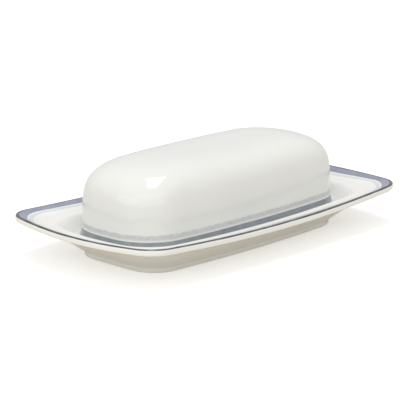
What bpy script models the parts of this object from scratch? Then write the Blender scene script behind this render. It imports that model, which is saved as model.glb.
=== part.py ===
"""Covered butter dish: a porcelain tray and the domed cover that lifts off it.

Both pieces are lofts through rings. A ring is a rectangle whose four sides bow out as arcs and meet
in round corners, so one short list of sections describes each piece. Units are metres, Z is up, X
runs along the dish, and the tray stands on the plane Z = 0.
"""

import math
from collections import namedtuple

import bmesh
import bpy

MM = 0.001

# A ring seen from above. The bows are how far the middle of an end or of a long side stands out
# beyond its corners.
Outline = namedtuple("Outline", "half_length half_width end_bow side_bow corner")

# Tray
RIM = Outline(104.0 * MM, 57.5 * MM, 8.5 * MM, 4.0 * MM, 15.5 * MM)
WELL = Outline(81.3 * MM, 37.0 * MM, 3.9 * MM, 4.6 * MM, 26.5 * MM)
BELLY = Outline(80.0 * MM, 38.3 * MM, 3.4 * MM, 4.6 * MM, 19.5 * MM)
FOOT = Outline(73.5 * MM, 33.1 * MM, 1.9 * MM, 3.9 * MM, 15.6 * MM)
RIM_HEIGHT = 20.0 * MM
FLOOR_HEIGHT = 10.7 * MM
END_LIFT = 2.0 * MM
CORNER_LIFT = 1.8 * MM
RIM_THICKNESS = 3.8 * MM
RIM_EASE = 1.2 * MM
UNDERSIDE_LATENESS = 1.5
BELLY_HEIGHT = 7.0 * MM
FOOT_HEIGHT = 2.6 * MM
FOOT_STEP = 0.5 * MM
FOOT_WIDTH = 4.0 * MM
FOOT_EASE = 0.6 * MM
# The ring between the belly and the foot's crease, as shares of the way in and of the way down.
HAUNCH_IN = 0.6
HAUNCH_DOWN = 0.5
RECESS_HEIGHT = 6.2 * MM

# Cover
COVER = Outline(80.6 * MM, 36.3 * MM, 3.7 * MM, 4.6 * MM, 26.6 * MM)
COVER_GAP = 0.3 * MM
COVER_HEIGHT = 41.1 * MM
COVER_WALL = 4.2 * MM
STRAIGHT_HEIGHT = 13.0 * MM
WALL_DRAFT = 0.056
# The banded foot of the wall stands out a little, and eases back within this height.
BASE_FLARE = 1.0 * MM
FLARE_HEIGHT = 7.0 * MM
RIDGE_SHORTENING = 56.5 * MM
DOME_FULLNESS = 4.0
DOME_ROUNDNESS = 3.5
# How fast a dome ring's corners tighten as it narrows, and the most of its half width they take.
CORNER_TIGHTENING = 0.3
MOST_CORNER = 0.85
BASE_EASE = 1.2 * MM
BASE_CROWN = 0.2 * MM

# Points along each quarter of a ring, the same on every ring so that rings join one to one.
END_STEPS = 3
CORNER_STEPS = 7
SIDE_STEPS = 4
DOME_STEPS = 13
DOME_STEP_CROWDING = 1.2
# Rings of the tray's top, from the floor out to the lip's crest: the share of the way in from the
# crest, and the share of the fall to the floor. The banded rim falls to a nearly level shelf, whose
# inner edge rolls over into the well that the cover stands in.
TOP_PROFILE = (
    (1.0, 1.0),
    (0.93, 0.87),
    (0.86, 0.69),
    (0.79, 0.5),
    (0.72, 0.36),
    (0.65, 0.31),
    (0.56, 0.295),
    (0.46, 0.285),
    (0.36, 0.26),
    (0.26, 0.195),
    (0.16, 0.12),
    (0.08, 0.05),
    (0.0, 0.0),
)
UNDERSIDE_SHARES = (0.0, 0.25, 0.5, 0.75, 0.9, 1.0)
# How far in from a corner a quarter round's middle lies, as a share of its radius.
ROUND_MIDDLE = 1 - math.sqrt(0.5)
SHARP_EDGE = math.radians(40)

GLAZE_ROUGHNESS = 0.12
GLAZED_WHITE = (0.80, 0.79, 0.74, 1.0)
GLAZED_BLUE_WHITE = (0.72, 0.75, 0.75, 1.0)


def clear_scene():
    for obj in list(bpy.data.objects):
        bpy.data.objects.remove(obj)


def blend(first, second, share):
    """The outline this share of the way from first to second."""
    return Outline(*(a + (b - a) * share for a, b in zip(first, second)))


def inset(outline, distance):
    """The outline moved in by distance all round."""
    return outline._replace(
        half_length=outline.half_length - distance,
        half_width=outline.half_width - distance,
        corner=outline.corner - distance,
    )


def corner_centre(outline):
    """The corner arc's centre, and the centres and radii of the end arc and the side arc."""
    length, width, corner = outline.half_length, outline.half_width, outline.corner
    end_radius = (width**2 + outline.end_bow**2) / (2 * outline.end_bow)
    side_radius = (length**2 + outline.side_bow**2) / (2 * outline.side_bow)
    end_x = length - end_radius
    side_y = width - side_radius
    # The centre lies where both arcs, drawn in by the corner's radius, cross.
    end_inner, side_inner = end_radius - corner, side_radius - corner
    apart = math.hypot(end_x, side_y)
    along = (end_inner**2 - side_inner**2 + apart**2) / (2 * apart)
    across = math.sqrt(end_inner**2 - along**2)
    unit_x, unit_y = -end_x / apart, side_y / apart
    centre = (end_x + along * unit_x - across * unit_y, along * unit_y + across * unit_x)
    return centre, end_x, end_radius, side_y, side_radius


def quarter(outline):
    """Points from the end's middle (+X) round the corner to just before the side's middle (+Y)."""
    (x, y), end_x, end_radius, side_y, side_radius = corner_centre(outline)
    end_turn = math.atan2(y, x - end_x)
    side_turn = math.atan2(y - side_y, x)
    points = []
    for i in range(END_STEPS):
        turn = end_turn * i / END_STEPS
        points.append((end_x + end_radius * math.cos(turn), end_radius * math.sin(turn)))
    for i in range(CORNER_STEPS):
        turn = end_turn + (side_turn - end_turn) * i / CORNER_STEPS
        points.append((x + outline.corner * math.cos(turn), y + outline.corner * math.sin(turn)))
    for i in range(SIDE_STEPS):
        turn = side_turn + (math.pi / 2 - side_turn) * i / SIDE_STEPS
        points.append((side_radius * math.cos(turn), side_y + side_radius * math.sin(turn)))
    return points


def ring(outline, height, lift=0.0):
    """The outline as points in space. A lift of 1 raises the ends and corners as at the rim."""
    first = quarter(outline)
    side_middle = (0.0, outline.half_width)
    half = first + [side_middle] + [(-x, y) for x, y in reversed(first[1:])]
    flat = half + [(-x, -y) for x, y in half]
    points = []
    for x, y in flat:
        along = (x / outline.half_length) ** 2
        across = (y / outline.half_width) ** 2
        raised = lift * along * (END_LIFT + CORNER_LIFT * across)
        points.append((x, y, height + raised))
    return points


def loft(name, rings, colour):
    """A closed solid through the rings, with a flat face over the first and the last."""
    mesh = bpy.data.meshes.new(name)
    obj = bpy.data.objects.new(name, mesh)
    solid = bmesh.new()
    loops = []
    for points in rings:
        verts = [solid.verts.new(point) for point in points]
        loops.append([solid.edges.new(pair) for pair in zip(verts, verts[1:] + verts[:1])])
    for upper, lower in zip(loops, loops[1:]):
        bmesh.ops.bridge_loops(solid, edges=upper + lower)
    for loop in (loops[0], loops[-1]):
        bmesh.ops.contextual_create(solid, geom=loop)
    bmesh.ops.recalc_face_normals(solid, faces=solid.faces[:])
    solid.to_mesh(mesh)
    solid.free()
    mesh.shade_smooth()
    mesh.set_sharp_from_angle(angle=SHARP_EDGE)
    mesh.materials.append(glaze(name, colour))
    return obj


def glaze(name, colour):
    material = bpy.data.materials.new(name + "_glaze")
    material.use_nodes = True
    shader = material.node_tree.nodes["Principled BSDF"]
    shader.inputs["Base Color"].default_value = colour
    shader.inputs["Roughness"].default_value = GLAZE_ROUGHNESS
    shader.inputs["Metallic"].default_value = 0.0
    return material


def tray_top(share, fallen):
    """A ring of the tray's top, share of the way in from the crest, where the top has fallen by
    this share of its depth. The ends' lift fades as it falls."""
    height = RIM_HEIGHT - (RIM_HEIGHT - FLOOR_HEIGHT) * fallen
    return ring(blend(inset(RIM, RIM_EASE), WELL, share), height, (1 - fallen) ** 2)


def tray_underside(share):
    """A ring under the rim, share of the way from the rim's lower edge in to the belly."""
    top = RIM_HEIGHT - RIM_THICKNESS
    lower_edge = inset(RIM, RIM_EASE)
    fall = share**UNDERSIDE_LATENESS
    return ring(blend(lower_edge, BELLY, share), top + (BELLY_HEIGHT - top) * fall, 1 - fall)


def tray_rings():
    edge_shift = RIM_EASE * ROUND_MIDDLE
    rings = [tray_top(share, fallen) for share, fallen in TOP_PROFILE]
    rings.append(ring(inset(RIM, edge_shift), RIM_HEIGHT - edge_shift, 1))
    rings.append(ring(RIM, RIM_HEIGHT - RIM_EASE, 1))
    rings.append(ring(RIM, RIM_HEIGHT - RIM_THICKNESS + RIM_EASE, 1))
    rings.append(ring(inset(RIM, edge_shift), RIM_HEIGHT - RIM_THICKNESS + edge_shift, 1))
    rings += [tray_underside(share) for share in UNDERSIDE_SHARES]
    crease = inset(FOOT, -FOOT_STEP)
    haunch_height = BELLY_HEIGHT + (FOOT_HEIGHT - BELLY_HEIGHT) * HAUNCH_DOWN
    rings.append(ring(blend(BELLY, crease, HAUNCH_IN), haunch_height))
    rings.append(ring(crease, FOOT_HEIGHT + FOOT_STEP / 2))
    rings.append(ring(inset(FOOT, -FOOT_STEP / 4), FOOT_HEIGHT))
    rings.append(ring(FOOT, FOOT_EASE))
    rings.append(ring(inset(FOOT, FOOT_EASE), 0))
    rings.append(ring(inset(FOOT, FOOT_WIDTH - FOOT_EASE), 0))
    rings.append(ring(inset(FOOT, FOOT_WIDTH), FOOT_EASE))
    rings.append(ring(inset(FOOT, FOOT_WIDTH + FOOT_EASE), RECESS_HEIGHT - 2 * FOOT_EASE))
    rings.append(ring(inset(FOOT, FOOT_WIDTH + 3 * FOOT_EASE), RECESS_HEIGHT))
    return rings


def leaning(height):
    """How far inside its base the cover's outer face stands at a height up the wall."""
    still_out = max(0.0, 1 - height / FLARE_HEIGHT)
    return BASE_FLARE * (1 - still_out**2) + WALL_DRAFT * height


def cover_wall_ring(depth, height):
    """A ring of the cover's upright wall, depth inside its outer face, height above its base."""
    return ring(inset(COVER, depth + leaning(height)), height)


def dome_ring(depth, step):
    """A ring of the dome, depth inside its outer face. The dome is a superellipse from the wall's
    top to a ridge along the middle, and its corners stay round as it narrows."""
    turn = math.radians(90) * (step / (DOME_STEPS + 1)) ** DOME_STEP_CROWDING
    narrowing = math.cos(turn) ** (2 / DOME_FULLNESS)
    rise = math.sin(turn) ** (2 / DOME_ROUNDNESS)
    start = inset(COVER, depth + leaning(STRAIGHT_HEIGHT))
    half_width = start.half_width * narrowing
    outline = Outline(
        start.half_length - RIDGE_SHORTENING * (1 - narrowing),
        half_width,
        start.end_bow,
        start.side_bow * narrowing,
        min(start.corner * narrowing**CORNER_TIGHTENING, MOST_CORNER * half_width),
    )
    return ring(outline, STRAIGHT_HEIGHT + (COVER_HEIGHT - depth - STRAIGHT_HEIGHT) * rise)


def cover_rings():
    edge_shift = BASE_EASE * ROUND_MIDDLE
    rings = [dome_ring(0, step) for step in range(DOME_STEPS, -1, -1)]
    rings += [cover_wall_ring(0, FLARE_HEIGHT), cover_wall_ring(0, FLARE_HEIGHT / 2)]
    rings.append(cover_wall_ring(0, BASE_EASE))
    rings.append(cover_wall_ring(edge_shift, edge_shift))
    rings.append(cover_wall_ring(BASE_EASE, BASE_CROWN))
    rings.append(cover_wall_ring(COVER_WALL / 2, 0))
    rings.append(cover_wall_ring(COVER_WALL - BASE_EASE, BASE_CROWN))
    rings.append(cover_wall_ring(COVER_WALL - edge_shift, edge_shift))
    rings.append(cover_wall_ring(COVER_WALL, BASE_EASE))
    rings.append(cover_wall_ring(COVER_WALL, FLARE_HEIGHT / 2))
    rings.append(cover_wall_ring(COVER_WALL, FLARE_HEIGHT))
    rings += [dome_ring(COVER_WALL, step) for step in range(0, DOME_STEPS + 1)]
    return rings


def main():
    clear_scene()
    dish = bpy.data.collections.new("butter_dish")
    bpy.context.scene.collection.children.link(dish)

    tray = loft("tray", tray_rings(), GLAZED_WHITE)
    dish.objects.link(tray)

    # The empty is on the axis that the cover lifts along, level with the cover's base.
    lift = bpy.data.objects.new("cover_lift", None)
    lift.location.z = FLOOR_HEIGHT + COVER_GAP
    dish.objects.link(lift)
    cover = loft("cover", cover_rings(), GLAZED_BLUE_WHITE)
    cover.parent = lift
    dish.objects.link(cover)


main()
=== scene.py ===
"""Covered butter dish: the glazed tray and the glazed cover that lifts off it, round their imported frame.

Each piece is drawn as rings, which are bridged into a closed cage, smoothed by a subdivision surface
and painted with its bands. The file is laid out as an add-on and run as a script. Units are metres.
"""

import math
from collections import namedtuple

import bmesh
import bpy
from mathutils import Matrix, Vector


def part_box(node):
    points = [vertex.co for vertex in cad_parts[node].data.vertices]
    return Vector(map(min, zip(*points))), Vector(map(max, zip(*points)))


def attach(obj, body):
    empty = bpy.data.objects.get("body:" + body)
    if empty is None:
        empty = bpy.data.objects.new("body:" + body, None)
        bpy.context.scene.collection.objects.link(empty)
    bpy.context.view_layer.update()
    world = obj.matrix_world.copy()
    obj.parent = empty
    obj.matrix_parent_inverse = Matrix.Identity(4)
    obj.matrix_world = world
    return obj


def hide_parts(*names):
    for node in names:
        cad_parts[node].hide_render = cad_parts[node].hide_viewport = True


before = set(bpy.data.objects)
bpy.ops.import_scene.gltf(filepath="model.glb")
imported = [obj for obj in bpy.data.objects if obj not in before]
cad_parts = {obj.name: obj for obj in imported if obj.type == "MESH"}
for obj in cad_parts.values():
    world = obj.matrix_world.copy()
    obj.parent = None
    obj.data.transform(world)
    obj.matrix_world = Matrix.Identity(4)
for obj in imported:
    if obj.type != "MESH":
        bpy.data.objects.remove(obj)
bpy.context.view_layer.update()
TRAY_LOW, TRAY_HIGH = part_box("tray")
COVER_LOW, COVER_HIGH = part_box("cover")

bl_info = {
    "name": "Covered Butter Dish",
    "version": (1, 0, 0),
    "blender": (4, 5, 0),
    "location": "3D View > Sidebar > Butter Dish",
    "description": "Builds a long porcelain butter dish: its banded tray and its domed cover",
    "category": "Object",
}

MM = 0.001

# A ring seen from above: a rectangle whose sides bow out as arcs and meet in round corners. The bows
# are how far the middle of an end or of a long side stands out beyond its corners.
Outline = namedtuple("Outline", "half_length half_width end_bow side_bow corner")

WELL = Outline(81.3 * MM, 37.0 * MM, 3.9 * MM, 4.6 * MM, 26.5 * MM)
BELLY = Outline(80.0 * MM, 38.3 * MM, 3.4 * MM, 4.6 * MM, 19.5 * MM)
FOOT = Outline(73.5 * MM, 33.1 * MM, 1.9 * MM, 3.9 * MM, 15.6 * MM)

# Steps along each quarter of a ring, the same on every ring so that rings bridge one to one.
END_STEPS = 4
CORNER_STEPS = 8
SIDE_STEPS = 5
RING_POINTS = 4 * (END_STEPS + CORNER_STEPS + SIDE_STEPS)
CAP_SPAN = 2 * END_STEPS + CORNER_STEPS
SMOOTHING = 2
MERGED_WITHIN = 0.01 * MM
# The nudge, in radians, keeps a ring's first point first, whichever way its last digit was rounded.
FIRST_POINT_NUDGE = 0.001

# The point attribute that holds how far a point is from where a piece's bands are measured.
DISTANCE = "set_out"
# Where the dark line starts on the lip, and the slate band at the cover's base.
LIP_TO_LINE = 0.6 * MM
BAND_FROM = -0.2 * MM

# Rings of the tray's top, from the floor out to the lip's crest: the share of the way in from the
# crest, and the share of the fall to the floor. The banded rim falls to a nearly level shelf, whose
# inner edge rolls over into the well that the cover stands in.
TOP_PROFILE = (
    (1.0, 1.0),
    (0.93, 0.87),
    (0.86, 0.69),
    (0.79, 0.5),
    (0.72, 0.36),
    (0.65, 0.31),
    (0.56, 0.295),
    (0.46, 0.285),
    (0.36, 0.26),
    (0.26, 0.195),
    (0.16, 0.12),
    (0.08, 0.05),
    (0.0, 0.0),
)
# How far along the way in from the lip the rings under the rim lie.
UNDERSIDE_SHARES = (0.0, 0.12, 0.27, 0.42, 0.57, 0.71, 0.83, 0.92, 1.0)
UNDERSIDE_LATENESS = 1.5
# How far in from a corner a quarter round's middle lies, as a share of its radius.
ROUND_MIDDLE = 1 - math.sqrt(0.5)

# The foot: its crease's reach beyond it, the rings down to the crease and its edges' radius.
CREASE_OUT = 0.3 * MM
HAUNCH_SHARES = (0.3, 0.6, 0.85)
HAUNCH_EARLINESS = 0.9
FOOT_EASE = 0.6 * MM

# A face that looks down has a normal that falls at least this much. Bare clay ends at these heights.
LOOKS_DOWN = -0.8
TRAY_BARE_BELOW = 0.3 * MM
COVER_BARE_ABOVE_BASE = 0.35 * MM

# The dome is a superellipse. Its rings crowd towards its springing, and the last ones close the ridge.
DOME_STEPS = (0, 0.7, 1.5, 2.4, 3.4, 4.4, 5.4, 6.4, 7.4, 8.4, 9.4, 10.4, 11.4, 12.3, 13.1, 13.7)
DOME_LAST_STEP = 14
DOME_STEP_CROWDING = 1.2
DOME_FULLNESS = 4.0
DOME_ROUNDNESS = 3.5
# How fast a dome ring's corners tighten as it narrows, and the most of its half width that its
# corners and its end bow take.
CORNER_TIGHTENING = 0.3
MOST_CORNER = 0.85
MOST_END_BOW = 0.5

# How much the cover's wall leans in for each unit it rises.
WALL_DRAFT = 0.056
# The wall's rings, as shares of the way from the base up to the springing.
WALL_SHARES = (0.85, 0.7, 0.55, 0.4, 0.25, 0.12)


def linear(code):
    """An sRGB hex colour as the linear red, green and blue that Blender's sockets take."""
    shares = [int(code[i : i + 2], 16) / 255 for i in (0, 2, 4)]
    return tuple(s / 12.92 if s <= 0.04045 else ((s + 0.055) / 1.055) ** 2.4 for s in shares)


def length_property(name, description, default):
    return bpy.props.FloatProperty(
        name=name,
        description=description,
        default=default,
        min=0.0,
        unit="LENGTH",
        subtype="DISTANCE",
        precision=5,
    )


def colour_property(name, description, code):
    return bpy.props.FloatVectorProperty(
        name=name,
        description=description,
        default=linear(code),
        min=0.0,
        max=1.0,
        size=3,
        subtype="COLOR",
    )


class TraySizes(bpy.types.PropertyGroup):
    half_length: length_property("Half length", "Middle of the tray to its end", TRAY_HIGH.x)
    half_width: length_property("Half width", "Middle of the tray to its side", TRAY_HIGH.y)
    end_bow: length_property("End bow", "How far an end stands out beyond its corners", 8.5 * MM)
    side_bow: length_property("Side bow", "How far a side stands out beyond its corners", 4.0 * MM)
    corner: length_property("Rim corner", "Radius of the rim's corners", 15.5 * MM)
    rim_height: length_property("Rim height", "Floor to the middle of a long side", 20.0 * MM)
    rim_thickness: length_property("Rim thickness", "Thickness of the rolled lip", 3.8 * MM)
    rim_ease: length_property("Lip rounding", "Radius of the lip's edges", 1.2 * MM)
    end_lift: length_property("End lift", "How much higher the ends are than the sides", 2.0 * MM)
    corner_lift: length_property("Corner lift", "How much higher again the corners are", 1.8 * MM)
    floor_height: length_property("Well height", "Height of the flat the cover stands on", 10.7 * MM)
    belly_height: length_property("Belly height", "Where the rim's underside meets the belly", 7.0 * MM)
    foot_height: length_property("Foot height", "Height of the crease above the foot", 2.6 * MM)
    foot_width: length_property("Foot width", "Width of the ring the tray stands on", 4.0 * MM)
    recess_height: length_property("Recess height", "Ceiling of the hollow in the foot", 6.2 * MM)
    line_width: length_property("Edge line", "Width of the dark line on the lip", 2.3 * MM)
    band_width: length_property("Rim band", "Width of the grey-blue band", 4.5 * MM)
    gap_width: length_property("Rim gap", "White left between the band and the pale line", 1.0 * MM)
    pale_width: length_property("Pale line", "Width of the pale inner line", 2.4 * MM)


class CoverSizes(bpy.types.PropertyGroup):
    half_length: length_property("Half length", "Middle of the cover to its end", COVER_HIGH.x)
    half_width: length_property("Half width", "Middle of the cover to its side", COVER_HIGH.y)
    end_bow: length_property("End bow", "How far an end stands out beyond its corners", 3.7 * MM)
    side_bow: length_property("Side bow", "How far a side stands out beyond its corners", 4.6 * MM)
    corner: length_property("Corner", "Radius of the wall's corners", 26.6 * MM)
    base: length_property("Base", "Height that the cover's base rests at", COVER_LOW.z)
    height: length_property("Height", "Base to the top of the dome", COVER_HIGH.z - COVER_LOW.z)
    wall: length_property("Wall", "Thickness of the cover", 4.2 * MM)
    springing: length_property("Springing", "Where the upright wall turns into the dome", 13.0 * MM)
    flare: length_property("Base flare", "How far the wall's banded foot stands out", 1.0 * MM)
    flare_height: length_property("Flare height", "Height that the flare eases away in", 7.0 * MM)
    ridge: length_property("Ridge shortening", "How much shorter the ridge is, each end", 56.5 * MM)
    base_ease: length_property("Base rounding", "Radius of the base's edges", 1.2 * MM)
    base_crown: length_property("Base crown", "How far the base rounds down between", 0.2 * MM)
    band_width: length_property("Base band", "Width of the slate band", 6.1 * MM)
    gap_width: length_property("Band gap", "White left above the slate band", 1.0 * MM)
    sponge_width: length_property("Sponged band", "Width of the sponged upper band", 2.4 * MM)


class GlazeColours(bpy.types.PropertyGroup):
    tray_white: colour_property("Tray white", "Warm white of the tray's glaze", "F0EFEB")
    cover_white: colour_property("Cover white", "Cool white of the cover's glaze", "E8E8E4")
    edge_line: colour_property("Edge line", "Dark line round the lip", "3A3C41")
    rim_band: colour_property("Rim band", "Grey-blue band inside the line", "868EA3")
    pale_line: colour_property("Pale line", "Pale inner line", "D2D8DA")
    slate_band: colour_property("Slate band", "Dark band at the cover's base", "848D95")
    sponged: colour_property("Sponged band", "Mottled band above the slate one", "BFC4C3")
    biscuit: colour_property("Biscuit", "Unglazed clay under the foot and the base", "E4DED0")


class StageSettings(bpy.types.PropertyGroup):
    paper: colour_property("Paper", "Sheet that the dish stands on", "F9F9FA")
    table: colour_property("Table", "What the dish mirrors in place of the sheet", "D2CEC3")
    paper_glow: bpy.props.FloatProperty(
        name="Paper glow",
        description="Light that shines through the sheet, which keeps it white round the dish",
        default=0.32,
        min=0.0,
    )
    table_glow: bpy.props.FloatProperty(
        name="Table glow",
        description="Light that shines through the table, which lifts the shade under the rim",
        default=0.2,
        min=0.0,
    )
    azimuth: bpy.props.FloatProperty(
        name="Azimuth",
        description="Turn of the camera round the dish, from its long side",
        default=math.radians(-46.4),
        subtype="ANGLE",
        unit="ROTATION",
    )
    elevation: bpy.props.FloatProperty(
        name="Elevation",
        description="Camera's angle above the horizon",
        default=math.radians(14.94),
        subtype="ANGLE",
        unit="ROTATION",
    )
    distance: length_property("Distance", "Camera to the point it looks at", 1.1)
    lens: bpy.props.FloatProperty(
        name="Lens",
        description="Focal length for a sensor 36 mm wide, in millimetres",
        default=175.8,
    )
    aim: bpy.props.FloatVectorProperty(
        name="Aim",
        description="Point that the camera looks at",
        default=(2.15 * MM, 3.8 * MM, 15.67 * MM),
        size=3,
        unit="LENGTH",
        subtype="TRANSLATION",
        precision=5,
    )


# Shape


def blend(first, second, share):
    """The outline this share of the way from first to second."""
    return Outline(*(a + (b - a) * share for a, b in zip(first, second)))


def inset(outline, distance):
    """The outline moved in by distance all round."""
    return outline._replace(
        half_length=outline.half_length - distance,
        half_width=outline.half_width - distance,
        corner=outline.corner - distance,
    )


def arcs(outline):
    """The steps, turn and centre of the arcs that draw a quarter of the outline: its end from the
    middle, its corner, and its side to the middle."""
    length, width, corner = outline.half_length, outline.half_width, outline.corner
    end_radius = (width**2 + outline.end_bow**2) / (2 * outline.end_bow)
    side_radius = (length**2 + outline.side_bow**2) / (2 * outline.side_bow)
    end_x = length - end_radius
    side_y = width - side_radius
    # The corner's centre lies where both arcs, drawn in by the corner's radius, cross.
    end_inner, side_inner = end_radius - corner, side_radius - corner
    apart = math.hypot(end_x, side_y)
    along = (end_inner**2 - side_inner**2 + apart**2) / (2 * apart)
    across = math.sqrt(end_inner**2 - along**2)
    unit_x, unit_y = -end_x / apart, side_y / apart
    x = end_x + along * unit_x - across * unit_y
    y = along * unit_y + across * unit_x
    end_turn = math.atan2(y, x - end_x)
    side_turn = math.atan2(y - side_y, x)
    return (
        (END_STEPS, end_turn, (end_x, 0.0)),
        (CORNER_STEPS, side_turn - end_turn, (x, y)),
        (SIDE_STEPS, math.pi / 2 - side_turn, (0.0, side_y)),
    )


def draw_ring(outline, height):
    """A point spun round the centres of the end, the corner and the side, then mirrored twice."""
    bpy.ops.object.select_all(action="DESELECT")
    bpy.ops.mesh.primitive_plane_add(
        size=MM, enter_editmode=True, location=(outline.half_length, 0.0, height)
    )
    bpy.ops.mesh.select_mode(type="VERT")
    bpy.ops.mesh.merge(type="CENTER")
    for steps, turn, (x, y) in arcs(outline):
        bpy.ops.mesh.spin(steps=steps, angle=-turn, center=(x, y, height), axis=(0, 0, 1))
    for mirrored in ((-1, 1, 1), (1, -1, 1)):
        bpy.ops.mesh.select_all(action="SELECT")
        bpy.ops.mesh.duplicate()
        bpy.ops.transform.resize(value=mirrored, center_override=(0, 0, 0))
    bpy.ops.mesh.select_all(action="SELECT")
    bpy.ops.mesh.remove_doubles(threshold=MERGED_WITHIN)
    bpy.ops.object.mode_set(mode="OBJECT")
    return bpy.context.object


def raise_ends(ring, outline, end_lift, corner_lift):
    """Lifts a ring's ends, and its corners more, so that it bows along its length."""
    place = ring.location
    for point in ring.data.vertices:
        along = ((point.co.x + place.x) / outline.half_length) ** 2
        across = ((point.co.y + place.y) / outline.half_width) ** 2
        point.co.z += along * (end_lift + corner_lift * across)


def join_rings(name, rings):
    """Joins the rings into one piece whose points remember which ring they are on."""
    bpy.ops.object.select_all(action="DESELECT")
    for number, ring in enumerate(rings):
        marks = ring.data.attributes.new("ring", "INT", "POINT")
        marks.data.foreach_set("value", [number] * RING_POINTS)
        ring.select_set(True)
    bpy.context.view_layer.objects.active = rings[0]
    bpy.ops.object.join()
    piece = bpy.context.object
    piece.name = name
    piece.data.name = name
    bpy.ops.object.transform_apply(location=True, rotation=True, scale=True)
    return piece


def ring_points(piece, number):
    """The indices of a ring's points, in order round it from the middle of the +X end."""
    marks = piece.data.attributes["ring"].data
    found = [point for point in piece.data.vertices if marks[point.index].value == number]
    reach_x = max(point.co.x for point in found)
    reach_y = max(point.co.y for point in found)

    def turn(point):
        angle = math.atan2(point.co.y / reach_y, point.co.x / reach_x)
        return (angle + FIRST_POINT_NUDGE) % (2 * math.pi)

    return [point.index for point in sorted(found, key=turn)]


def select_rings(piece, first, last):
    """Selects the edges that lie along either ring, and nothing else."""
    bpy.ops.mesh.select_all(action="DESELECT")
    cage = bmesh.from_edit_mesh(piece.data)
    mark = cage.verts.layers.int["ring"]
    for edge in cage.edges:
        start, end = (point[mark] for point in edge.verts)
        edge.select_set(start == end and start in (first, last))
    bmesh.update_edit_mesh(piece.data)


def skin(piece, count):
    """Bridges each ring to the next and closes the first and the last with a grid of faces."""
    bpy.ops.object.mode_set(mode="EDIT")
    bpy.ops.mesh.select_mode(type="EDGE")
    for number in range(count - 1):
        select_rings(piece, number, number + 1)
        bpy.ops.mesh.bridge_edge_loops()
    for number in (count - 1, 0):
        select_rings(piece, number, number)
        bpy.ops.mesh.fill_grid(span=CAP_SPAN, offset=END_STEPS)
    bpy.ops.mesh.select_all(action="SELECT")
    bpy.ops.mesh.normals_make_consistent(inside=False)
    bpy.ops.object.mode_set(mode="OBJECT")


def set_out(piece, rows, start):
    """Stores each point's distance from the start ring, walked over the surface: it grows towards the
    first ring and falls below zero towards the last. The painted bands are set out by it."""
    distances = [-1.0] * len(piece.data.vertices)
    for step, sign in ((-1, 1.0), (1, -1.0)):
        walked = [0.0] * RING_POINTS
        number = start
        while 0 <= number < len(rows):
            for i, point in enumerate(rows[number]):
                distances[point] = sign * walked[i]
            if 0 <= number + step < len(rows):
                for i, (here, there) in enumerate(zip(rows[number], rows[number + step])):
                    gone = piece.data.vertices[here].co - piece.data.vertices[there].co
                    walked[i] += gone.length
            number += step
    marks = piece.data.attributes.new(DISTANCE, "FLOAT", "POINT")
    marks.data.foreach_set("value", distances)


def model_piece(name, rings, start):
    """A closed, smooth piece through the rings, with its distances set out from the start ring."""
    count = len(rings)
    piece = join_rings(name, rings)
    rows = [ring_points(piece, number) for number in range(count)]
    skin(piece, count)
    set_out(piece, rows, start)
    piece.data.attributes.remove(piece.data.attributes["ring"])
    modifier = piece.modifiers.new("Smoothing", "SUBSURF")
    modifier.levels = SMOOTHING
    modifier.render_levels = SMOOTHING
    bpy.ops.object.modifier_apply(modifier="Smoothing")
    bpy.ops.object.shade_smooth()
    return piece


def finish_piece(piece, body, node):
    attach(piece, body)
    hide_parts(node)


# Materials

# How far apart the lumps of each pattern are.
RIPPLE = 9 * MM
SWELL = 34 * MM
WEAR = 15 * MM
CLOUD = 45 * MM
WANDER = 28 * MM
STROKES = 7 * MM
BLOTS = 1.6 * MM
GRAIN = 0.6 * MM
STAINS = 12 * MM
FIBRES = 120 * MM
# Noise stays between these nearly everywhere.
NOISE_RANGE = (0.3, 0.7)
RELIEF = 0.05 * MM


def add_node(material, kind, values=None, **settings):
    """Adds a node with its settings. Each value goes to the input of that name or number: a socket is
    linked to it, and anything else is set on it."""
    node = material.node_tree.nodes.new(kind)
    for name, value in settings.items():
        setattr(node, name, value)
    for name, value in (values or {}).items():
        if isinstance(value, bpy.types.NodeSocket):
            material.node_tree.links.new(value, node.inputs[name])
        else:
            node.inputs[name].default_value = value
    return node


def opaque(colour):
    return (*colour, 1.0)


def new_material(name):
    """A material with only a Principled shader, and that shader."""
    material = bpy.data.materials.new(name)
    material.use_nodes = True
    return material, material.node_tree.nodes["Principled BSDF"]


def noise(material, place, size, detail=2.0, roughness=0.5):
    """Noise whose lumps are about this far apart on the piece."""
    settings = {"Vector": place, "Scale": 1 / size, "Detail": detail, "Roughness": roughness}
    return add_node(material, "ShaderNodeTexNoise", settings).outputs["Fac"]


def remap(material, value, low, high, to_low, to_high, smooth=False):
    """The value from low to high taken to the range from to_low to to_high."""
    values = {0: value, 1: low, 2: high, 3: to_low, 4: to_high}
    kind = "SMOOTHSTEP" if smooth else "LINEAR"
    node = add_node(material, "ShaderNodeMapRange", values, interpolation_type=kind)
    return node.outputs[0]


def calculate(material, operation, first, second):
    values = {0: first, 1: second}
    return add_node(material, "ShaderNodeMath", values, operation=operation).outputs[0]


def mixed(material, share, first, second):
    """The first colour, covered by the second where share is 1."""
    values = {0: share, 6: first, 7: second}
    return add_node(material, "ShaderNodeMix", values, data_type="RGBA").outputs[2]


def painted(material, under, distance, density, band):
    """A band painted over what is under it, between two distances and as thin as density says."""
    start, end, softness, strength, colour = band
    entered = remap(material, distance, start - softness, start + softness, 0.0, 1.0, True)
    left = remap(material, distance, end - softness, end + softness, 1.0, 0.0, True)
    inside = calculate(material, "MULTIPLY", entered, left)
    laid = calculate(material, "MULTIPLY", density, strength)
    return mixed(material, calculate(material, "MULTIPLY", inside, laid), under, opaque(colour))


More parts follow.
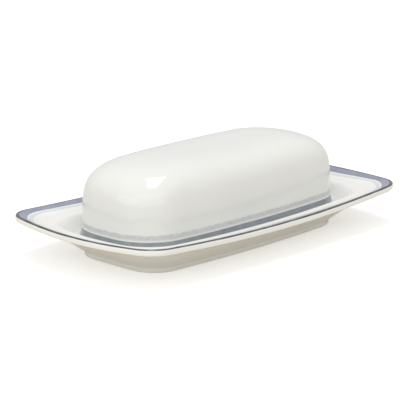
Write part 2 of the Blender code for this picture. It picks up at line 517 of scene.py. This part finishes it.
def glaze_finish(material, shader, place, colour):
    """Clear glaze over the colour: glossy, with the faint ripple that it sets with in the kiln."""
    ripple = calculate(material, "MULTIPLY", noise(material, place, RIPPLE, detail=1.0), 0.35)
    height = calculate(material, "ADD", ripple, noise(material, place, SWELL, detail=1.0))
    relief = {"Strength": 1.0, "Distance": RELIEF, "Height": height}
    bump = add_node(material, "ShaderNodeBump", relief)
    # Glaze is a little less glossy where it thins out or where the cover has rubbed it.
    wear = noise(material, place, WEAR, detail=4.0)
    gloss = remap(material, wear, 0.35, 0.7, 0.045, 0.11)
    shader.inputs["IOR"].default_value = 1.52
    shader.inputs["Metallic"].default_value = 0.0
    material.node_tree.links.new(colour, shader.inputs["Base Color"])
    material.node_tree.links.new(gloss, shader.inputs["Roughness"])
    material.node_tree.links.new(bump.outputs["Normal"], shader.inputs["Normal"])


def body_colour(material, place, white):
    """The glaze's white, which varies a little with the clay and with the glaze's thickness."""
    cloud = remap(material, noise(material, place, CLOUD, detail=3.0), *NOISE_RANGE, 0.0, 1.0)
    thin = tuple(c * 0.965 for c in white)
    return mixed(material, cloud, opaque(thin), opaque(white))


def banded_porcelain(name, white, bands, drift):
    """Porcelain under a clear glaze, with bands of colour that a brush laid on the turning piece."""
    material, shader = new_material(name)
    place = add_node(material, "ShaderNodeTexCoord").outputs["Object"]
    attribute = add_node(material, "ShaderNodeAttribute", attribute_name=DISTANCE)
    # The brush wanders slowly, by a fraction of a millimetre.
    wander = remap(material, noise(material, place, WANDER, 1.0), 0.2, 0.8, -drift, drift)
    distance = calculate(material, "ADD", attribute.outputs["Fac"], wander)
    # Colour lies thicker in some strokes than in others.
    strokes = noise(material, place, STROKES, detail=3.0)
    density = remap(material, strokes, *NOISE_RANGE, 0.88, 1.0)
    colour = body_colour(material, place, white)
    for band in bands:
        colour = painted(material, colour, distance, density, band)
    return material, shader, place, distance, colour


def tray_porcelain(colours, sizes):
    """Glazed porcelain, cast and fired: an even gloss, warm white, with blue-grey bands on the rim."""
    line_end = LIP_TO_LINE + sizes.line_width
    band_end = line_end + sizes.band_width
    pale_start = band_end + sizes.gap_width
    bands = (
        (line_end, band_end, 0.12 * MM, 1.0, colours.rim_band),
        (LIP_TO_LINE, line_end, 0.14 * MM, 1.0, colours.edge_line),
        (pale_start, pale_start + sizes.pale_width, 0.2 * MM, 0.9, colours.pale_line),
    )
    material, shader, place, _, colour = banded_porcelain(
        "banded_glazed_porcelain", colours.tray_white, bands, 0.15 * MM
    )
    glaze_finish(material, shader, place, colour)
    return material


def cover_porcelain(colours, sizes):
    """Glazed porcelain, cast and fired: cool white, with a slate band and a sponged one above it."""
    gap_start = sizes.band_width
    sponge_start = gap_start + sizes.gap_width
    bands = ((BAND_FROM, gap_start, 0.14 * MM, 1.0, colours.slate_band),)
    material, shader, place, distance, colour = banded_porcelain(
        "sponged_glazed_porcelain", colours.cover_white, bands, 0.12 * MM
    )
    # A sponge prints soft blots about 1.5 mm across, so the band's upper edge fades unevenly.
    blots = noise(material, place, BLOTS, detail=3.0, roughness=0.6)
    uneven = remap(material, blots, *NOISE_RANGE, -0.35 * MM, 0.35 * MM)
    reached = calculate(material, "ADD", distance, uneven)
    coverage = remap(material, blots, 0.34, 0.64, 0.95, 0.6)
    sponge = (
        sponge_start,
        sponge_start + sizes.sponge_width,
        0.7 * MM,
        1.0,
        colours.sponged,
    )
    colour = painted(material, colour, reached, coverage, sponge)
    glaze_finish(material, shader, place, colour)
    return material


def biscuit(colours):
    """Unglazed porcelain, wiped clean before firing: matt, chalky and faintly grained."""
    material, shader = new_material("biscuit_porcelain")
    place = add_node(material, "ShaderNodeTexCoord").outputs["Object"]
    # The clay's grain is a few hundredths of a millimetre, so it is drawn coarse enough to show.
    grain = noise(material, place, GRAIN, detail=4.0)
    cloud = remap(material, noise(material, place, STAINS, 3.0), *NOISE_RANGE, 0.0, 1.0)
    stained = tuple(c * 0.86 for c in colours.biscuit)
    colour = mixed(material, cloud, opaque(stained), opaque(colours.biscuit))
    relief = {"Strength": 0.8, "Distance": RELIEF, "Height": grain}
    bump = add_node(material, "ShaderNodeBump", relief)
    rough = remap(material, grain, *NOISE_RANGE, 0.7, 0.85)
    shader.inputs["IOR"].default_value = 1.5
    material.node_tree.links.new(colour, shader.inputs["Base Color"])
    material.node_tree.links.new(rough, shader.inputs["Roughness"])
    material.node_tree.links.new(bump.outputs["Normal"], shader.inputs["Normal"])
    return material


def give_foot(piece, glaze, clay, ceiling):
    """Glaze all over, except bare clay on the faces below the ceiling that look down."""
    piece.data.materials.append(glaze)
    piece.data.materials.append(clay)
    for face in piece.data.polygons:
        resting = face.normal.z < LOOKS_DOWN and face.center.z <= ceiling
        face.material_index = 1 if resting else 0


# Pieces


class BUTTER_DISH_OT_tray(bpy.types.Operator):
    """Model the long tray: rolled lip, sloping rim, flat well and hollow foot"""

    bl_idname = "butter_dish.tray"
    bl_label = "Tray"

    def top(self, sizes, share, fallen):
        """A ring of the top, share of the way in from the crest and this much of the way down."""
        height = sizes.rim_height - (sizes.rim_height - sizes.floor_height) * fallen
        crest = inset(self.rim, sizes.rim_ease)
        return self.lifted(sizes, blend(crest, WELL, share), height, (1 - fallen) ** 2)

    def underside(self, sizes, share):
        """A ring under the rim, share of the way from the lip to the belly."""
        start = sizes.rim_height - sizes.rim_thickness
        fallen = share**UNDERSIDE_LATENESS
        height = start + (sizes.belly_height - start) * fallen
        lip = inset(self.rim, sizes.rim_ease)
        return self.lifted(sizes, blend(lip, BELLY, share), height, 1 - fallen)

    def haunch(self, sizes):
        """The rings from the belly down to the foot's crease."""
        crease = inset(FOOT, -CREASE_OUT)
        drop = sizes.foot_height - sizes.belly_height
        rings = []
        for share in HAUNCH_SHARES:
            outline = blend(BELLY, crease, share**HAUNCH_EARLINESS)
            rings.append(draw_ring(outline, sizes.belly_height + drop * share))
        return rings

    def foot(self, sizes):
        """The rings from the crease, round under the foot, to the ceiling of the hollow in it."""
        crease = sizes.foot_height
        width = sizes.foot_width
        ceiling = sizes.recess_height
        # How far each ring lies inside the foot's outline, and its height.
        rows = (
            (-CREASE_OUT, crease + 0.4 * MM),
            (-CREASE_OUT / 2, crease - 0.5 * MM),
            (0.0, 1.1 * MM),
            (0.1 * MM, 0.4 * MM),
            (FOOT_EASE, 0.0),
            (width / 2, 0.0),
            (width - FOOT_EASE, 0.0),
            (width, FOOT_EASE),
            (width + 0.5 * MM, 2.5 * MM),
            (width + 1.2 * MM, ceiling - 1.0 * MM),
            (width + 2.4 * MM, ceiling),
            (width + 5.0 * MM, ceiling),
        )
        return [draw_ring(inset(FOOT, depth), height) for depth, height in rows]

    def lifted(self, sizes, outline, height, lift):
        ring = draw_ring(outline, height)
        raise_ends(ring, outline, lift * sizes.end_lift, lift * sizes.corner_lift)
        return ring

    def execute(self, context):
        sizes = context.scene.butter_tray
        self.rim = Outline(
            sizes.half_length, sizes.half_width, sizes.end_bow, sizes.side_bow, sizes.corner
        )
        ease = sizes.rim_ease
        shift = ease * ROUND_MIDDLE
        lip_top = sizes.rim_height
        lip_foot = sizes.rim_height - sizes.rim_thickness
        rings = [self.top(sizes, share, fallen) for share, fallen in TOP_PROFILE]
        rings.append(self.lifted(sizes, inset(self.rim, shift), lip_top - shift, 1))
        rings.append(self.lifted(sizes, self.rim, lip_top - ease, 1))
        lip = len(rings) - 1
        rings.append(self.lifted(sizes, self.rim, lip_foot + ease, 1))
        rings.append(self.lifted(sizes, inset(self.rim, shift), lip_foot + shift, 1))
        rings += [self.underside(sizes, share) for share in UNDERSIDE_SHARES]
        rings += self.haunch(sizes)
        rings += self.foot(sizes)
        tray = model_piece("glazed_tray", rings, lip)
        colours = context.scene.butter_glaze
        give_foot(tray, tray_porcelain(colours, sizes), biscuit(colours), TRAY_BARE_BELOW)
        finish_piece(tray, "tray", "tray")
        return {"FINISHED"}


class BUTTER_DISH_OT_cover(bpy.types.Operator):
    """Model the domed cover: upright walls that round over into a long soft ridge"""

    bl_idname = "butter_dish.cover"
    bl_label = "Cover"

    def leaning(self, sizes, height):
        """How far inside its base the outer face stands, at a height up the wall."""
        still_out = max(0.0, 1 - height / sizes.flare_height)
        return sizes.flare * (1 - still_out**2) + WALL_DRAFT * height

    def wall(self, sizes, depth, height):
        """A ring of the upright wall, depth inside its outer face and height above the base."""
        outline = inset(self.base, depth + self.leaning(sizes, height))
        return draw_ring(outline, sizes.base + height)

    def dome(self, sizes, depth, step):
        """A ring of the dome, depth inside its outer face, which narrows towards the ridge."""
        turn = math.radians(90) * (step / DOME_LAST_STEP) ** DOME_STEP_CROWDING
        narrowing = math.cos(turn) ** (2 / DOME_FULLNESS)
        rise = math.sin(turn) ** (2 / DOME_ROUNDNESS)
        start = inset(self.base, depth + self.leaning(sizes, sizes.springing))
        half_width = start.half_width * narrowing
        outline = Outline(
            start.half_length - sizes.ridge * (1 - narrowing),
            half_width,
            min(start.end_bow, MOST_END_BOW * half_width),
            start.side_bow * narrowing,
            min(start.corner * narrowing**CORNER_TIGHTENING, MOST_CORNER * half_width),
        )
        height = sizes.springing + (sizes.height - depth - sizes.springing) * rise
        return draw_ring(outline, sizes.base + height)

    def execute(self, context):
        sizes = context.scene.butter_cover
        self.base = Outline(
            sizes.half_length, sizes.half_width, sizes.end_bow, sizes.side_bow, sizes.corner
        )
        ease = sizes.base_ease
        shift = ease * ROUND_MIDDLE
        rings = [self.dome(sizes, 0, step) for step in reversed(DOME_STEPS)]
        for share in WALL_SHARES:
            rings.append(self.wall(sizes, 0, ease + (sizes.springing - ease) * share))
        rings.append(self.wall(sizes, 0, ease))
        rings.append(self.wall(sizes, shift, shift))
        rings.append(self.wall(sizes, ease, sizes.base_crown))
        foot = len(rings) - 1
        rings.append(self.wall(sizes, sizes.wall / 2, 0))
        rings.append(self.wall(sizes, sizes.wall - ease, sizes.base_crown))
        rings.append(self.wall(sizes, sizes.wall - shift, shift))
        rings.append(self.wall(sizes, sizes.wall, ease))
        for share in reversed(WALL_SHARES):
            rings.append(self.wall(sizes, sizes.wall, ease + (sizes.springing - ease) * share))
        rings += [self.dome(sizes, sizes.wall, step) for step in DOME_STEPS]
        cover = model_piece("glazed_cover", rings, foot)
        colours = context.scene.butter_glaze
        bare_below = sizes.base + COVER_BARE_ABOVE_BASE
        give_foot(cover, cover_porcelain(colours, sizes), biscuit(colours), bare_below)
        finish_piece(cover, "cover", "cover")
        return {"FINISHED"}


# Stage

MIDDLE = (0, 0, 20 * MM)


def facing(azimuth, elevation, distance, aim):
    """The place and turn of a thing that looks at the aim from there, upright."""
    right = Vector((math.cos(azimuth), math.sin(azimuth), 0))
    outward = math.cos(elevation)
    back = Vector((math.sin(azimuth) * outward, -math.cos(azimuth) * outward, math.sin(elevation)))
    turned = Matrix((right, back.cross(right), back)).transposed().to_4x4()
    return Matrix.Translation(Vector(aim) + back * distance) @ turned


def soft_box(name, angles, distance, size, radiance, colour):
    """A soft rectangular light that faces the dish from its azimuth and elevation in degrees. The
    camera doesn't see it."""
    light = bpy.data.lights.new(name, "AREA")
    light.shape = "RECTANGLE"
    light.size, light.size_y = size
    light.energy = radiance * math.pi * light.size * light.size_y
    light.color = colour
    lamp = bpy.data.objects.new(name, light)
    bpy.context.scene.collection.objects.link(lamp)
    azimuth, elevation = (math.radians(angle) for angle in angles)
    lamp.matrix_world = facing(azimuth, elevation, distance, MIDDLE)
    lamp.visible_camera = False


class BUTTER_DISH_OT_stage(bpy.types.Operator):
    """Set the pale sheet, the soft lights and the camera"""

    bl_idname = "butter_dish.stage"
    bl_label = "Stage"

    def paper(self, settings):
        """A wide sheet of matt white paper, with the faint unevenness of its fibres."""
        bpy.ops.object.select_all(action="DESELECT")
        bpy.ops.mesh.primitive_plane_add(size=8.0, location=(0, 0, 0))
        sheet = bpy.context.object
        sheet.name = "paper_sheet"
        material, shader = new_material("matt_white_paper")
        place = add_node(material, "ShaderNodeTexCoord").outputs["Object"]
        fibres = noise(material, place, FIBRES, detail=3.0)
        shade = remap(material, fibres, *NOISE_RANGE, 0.0, 1.0)
        dim = tuple(c * 0.985 for c in settings.paper)
        colour = mixed(material, shade, opaque(dim), opaque(settings.paper))
        material.node_tree.links.new(colour, shader.inputs["Base Color"])
        shader.inputs["Roughness"].default_value = 0.9
        shader.inputs["Specular IOR Level"].default_value = 0.2
        shader.inputs["Emission Color"].default_value = opaque(settings.paper)
        shader.inputs["Emission Strength"].default_value = settings.paper_glow
        # The sheet looks evenly lit from behind, yet the dish is lit and mirrored by a duller one.
        duller = add_node(
            material,
            "ShaderNodeBsdfPrincipled",
            {
                "Base Color": opaque(settings.table),
                "Roughness": 0.9,
                "Emission Color": opaque(settings.table),
                "Emission Strength": settings.table_glow,
            },
        )
        seen = add_node(material, "ShaderNodeLightPath").outputs["Is Camera Ray"]
        both = {0: seen, 1: duller.outputs[0], 2: shader.outputs[0]}
        chosen = add_node(material, "ShaderNodeMixShader", both)
        output = material.node_tree.nodes["Material Output"]
        material.node_tree.links.new(chosen.outputs[0], output.inputs["Surface"])
        sheet.data.materials.append(material)

    def camera(self, settings):
        camera = bpy.data.objects.new("camera", bpy.data.cameras.new("camera"))
        bpy.context.scene.collection.objects.link(camera)
        camera.data.lens = settings.lens
        camera.data.sensor_width = 36
        camera.data.clip_start = 0.01
        angles = settings.azimuth, settings.elevation
        camera.matrix_world = facing(*angles, settings.distance, settings.aim)
        bpy.context.scene.camera = camera

    def execute(self, context):
        settings = context.scene.butter_stage
        self.paper(settings)
        self.camera(settings)
        soft_box("top_light", (-46, 95), 1.6, (0.38, 1.1), 7.0, (1.0, 1.0, 1.0))
        soft_box("front_light", (-45, 30), 1.8, (2.4, 1.5), 0.8, (1.0, 1.0, 1.0))
        soft_box("side_light", (-100, 20), 1.6, (1.2, 0.7), 0.9, (1.0, 1.0, 1.0))
        world = bpy.data.worlds.new("studio")
        context.scene.world = world
        world.use_nodes = True
        background = world.node_tree.nodes["Background"]
        background.inputs["Color"].default_value = (1.0, 1.0, 1.0, 1.0)
        background.inputs["Strength"].default_value = 0.66
        context.scene.view_settings.view_transform = "Standard"
        return {"FINISHED"}


class BUTTER_DISH_PT_dish(bpy.types.Panel):
    """Lists the pieces, with the sizes and colours that each is made from"""

    bl_idname = "BUTTER_DISH_PT_dish"
    bl_label = "Butter Dish"
    bl_space_type = "VIEW_3D"
    bl_region_type = "UI"
    bl_category = "Butter Dish"

    def draw(self, context):
        scene = context.scene
        groups = (
            (BUTTER_DISH_OT_tray, scene.butter_tray),
            (BUTTER_DISH_OT_cover, scene.butter_cover),
            (BUTTER_DISH_OT_stage, scene.butter_stage),
            (None, scene.butter_glaze),
        )
        for operator, group in groups:
            box = self.layout.box()
            if operator:
                box.operator(operator.bl_idname)
            for name in group.__annotations__:
                box.prop(group, name)


CLASSES = (
    TraySizes,
    CoverSizes,
    GlazeColours,
    StageSettings,
    BUTTER_DISH_OT_tray,
    BUTTER_DISH_OT_cover,
    BUTTER_DISH_OT_stage,
    BUTTER_DISH_PT_dish,
)


def register():
    for made in CLASSES:
        bpy.utils.register_class(made)
    bpy.types.Scene.butter_tray = bpy.props.PointerProperty(type=TraySizes)
    bpy.types.Scene.butter_cover = bpy.props.PointerProperty(type=CoverSizes)
    bpy.types.Scene.butter_glaze = bpy.props.PointerProperty(type=GlazeColours)
    bpy.types.Scene.butter_stage = bpy.props.PointerProperty(type=StageSettings)


def unregister():
    del bpy.types.Scene.butter_stage
    del bpy.types.Scene.butter_glaze
    del bpy.types.Scene.butter_cover
    del bpy.types.Scene.butter_tray
    for made in reversed(CLASSES):
        bpy.utils.unregister_class(made)


def main():
    register()
    bpy.ops.butter_dish.tray()
    bpy.ops.butter_dish.cover()
    bpy.ops.butter_dish.stage()


if __name__ == "__main__":
    main()
